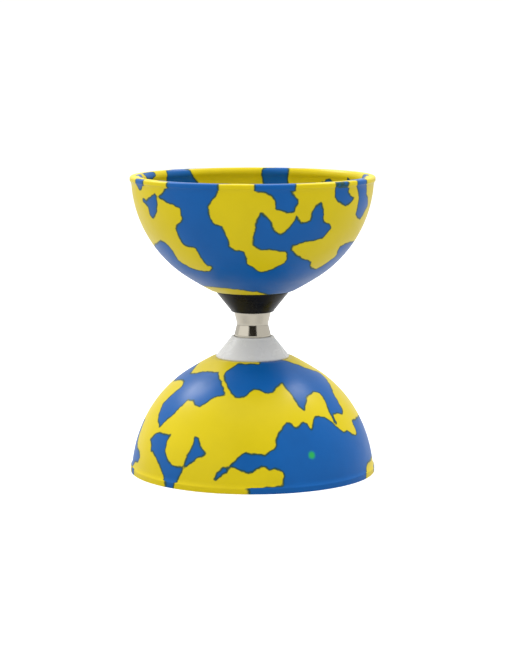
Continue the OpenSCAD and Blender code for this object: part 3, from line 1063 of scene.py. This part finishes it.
innerFinishes = {
    "clutch_journal": (bearingSteel, "bearing_steel"),
    "clutch_shell": (bearingSteel, "bearing_steel"),
    "clutch_rollers": (bearingSteel, "bearing_steel"),
    "clutch_cage": (blackNylon, "cage_plastic"),
    "spacer": (zincSteel, "zinc_steel"),
    "bearing_inner_race": (bearingSteel, "bearing_steel"),
    "bearing_outer_race": (bearingSteel, "bearing_steel"),
    "bearing_balls": (bearingSteel, "bearing_steel"),
    "bearing_shields": (zincSteel, "zinc_steel"),
    "bearing_cage": (cageBrass, "cage_brass"),
}
for nodeName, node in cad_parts.items():
    if node.hide_render:
        continue
    material, slotName = innerFinishes[nodeName.replace("lower_", "").replace("upper_", "")]
    if not node.material_slots:
        node.data.materials.append(material)
    for place in node.material_slots:
        place.material = material
print("inner parts dressed")


studio = {
    "floorSize": 40.0,
    "floorSeen": 0.90,        # how pale the floor looks
    "floorGiven": 0.52,       # how much of the light it throws back up at the object
    "floorGlow": {"given": 0.05, "seen": 0.20},
    "skyStrength": 0.94,
    "skySeen": 1.05,          # what the camera sees of the sky past the floor
    "panelDistance": 1.3,
    # azimuth and elevation in degrees, width and height in metres, power in watts
    "panels": {
        "left": (-126, 44, 0.4, 0.4, 8.0), "right": (118, 57, 0.4, 0.4, 8.0),
        "top": (0, 88, 1.4, 1.4, 10.0), "leftWide": (-64, 24, 2.2, 1.1, 3.0),
    },
    # the unlit end of the room behind the camera, which only polished metal shows
    "darkEnd": {"distance": 1.6, "halfAngle": 28, "low": 0.0, "high": 1.4},
}


def makeFloor():
    material, tree, shader = newMaterial("paleFloor", Roughness=0.7, Specular_IOR_Level=0.15)
    path = addNode(tree, "ShaderNodeLightPath")
    given, seen = ((shade, shade, shade, 1) for shade in (studio["floorGiven"], studio["floorSeen"]))
    tint = useGroup(tree, colourDrift, Amount=0.01, Scale=3.0)
    tree.links.new(mixColour(tree, path.outputs["Is Camera Ray"], given, seen), tint.inputs["Colour"])
    tree.links.new(tint.outputs["Colour"], shader.inputs["Base Color"])
    shader.inputs["Emission Color"].default_value = (1, 1, 1, 1)
    glow = studio["floorGlow"]
    glow = ramp(tree, path.outputs["Is Camera Ray"], 0, 1, glow["given"], glow["seen"])
    tree.links.new(glow, shader.inputs["Emission Strength"])
    deselectAll()
    bpy.ops.mesh.primitive_plane_add(size=studio["floorSize"])
    floor = bpy.context.active_object
    floor.name = "floor"
    floor.data.materials.append(material)


def makeLight():
    world = bpy.data.worlds.new("studio")
    bpy.context.scene.world = world
    world.use_nodes = True
    sky = world.node_tree.nodes["Background"]
    sky.inputs["Color"].default_value = (1, 1, 1, 1)
    path = world.node_tree.nodes.new("ShaderNodeLightPath")
    isCamera = path.outputs["Is Camera Ray"]
    strength = ramp(world.node_tree, isCamera, 0, 1, studio["skyStrength"], studio["skySeen"])
    world.node_tree.links.new(strength, sky.inputs["Strength"])
    target = Vector((0, 0, midHeight))
    for name, (azimuth, elevation, width, height, power) in studio["panels"].items():
        a, e = math.radians(azimuth), math.radians(elevation)
        away = Vector((math.sin(a) * math.cos(e), -math.cos(a) * math.cos(e), math.sin(e)))
        light = bpy.data.lights.new(name, "AREA")
        light.shape = "RECTANGLE"
        light.size, light.size_y, light.energy = width, height, power
        lamp = bpy.data.objects.new(name, light)
        bpy.context.scene.collection.objects.link(lamp)
        lamp.location = target + away * studio["panelDistance"]
        lamp.rotation_euler = (-away).to_track_quat("-Z", "Y").to_euler()


# A dark card that shows in reflections only, in front of the object and behind the camera
def makeDarkEnd():
    end = studio["darkEnd"]
    material, tree, shader = newMaterial("darkRoom", Roughness=0.9, Specular_IOR_Level=0.0)
    tint = useGroup(tree, colourDrift, Colour=(0.03, 0.028, 0.025, 1), Amount=0.3, Scale=2.0)
    tree.links.new(tint.outputs["Colour"], shader.inputs["Base Color"])
    deselectAll()
    width = 2 * end["distance"] * math.tan(math.radians(end["halfAngle"]))
    place = (0, -end["distance"], (end["low"] + end["high"]) / 2)
    bpy.ops.mesh.primitive_plane_add(size=1, location=place, rotation=(math.radians(90), 0, 0))
    card = bpy.context.active_object
    card.name = "darkRoomEnd"
    card.scale = (width, end["high"] - end["low"], 1)
    card.data.materials.append(material)
    card.visible_camera = False
    card.visible_diffuse = False
    card.visible_shadow = False


view = {"distance": 1.087, "height": 0.2248, "tilt": 8.02, "lens": 120.96, "shift": 0.006}


def makeCamera():
    lens = bpy.data.cameras.new("camera")
    camera = bpy.data.objects.new("camera", lens)
    bpy.context.scene.collection.objects.link(camera)
    camera.location = (0, -view["distance"], view["height"])
    camera.rotation_euler = (math.radians(90 - view["tilt"]), 0, 0)
    lens.lens = view["lens"]
    lens.shift_x = view["shift"]
    bpy.context.scene.camera = camera
    bpy.context.scene.view_settings.view_transform = "Standard"


makeFloor()
makeLight()
makeDarkEnd()
makeCamera()
print("studio made")
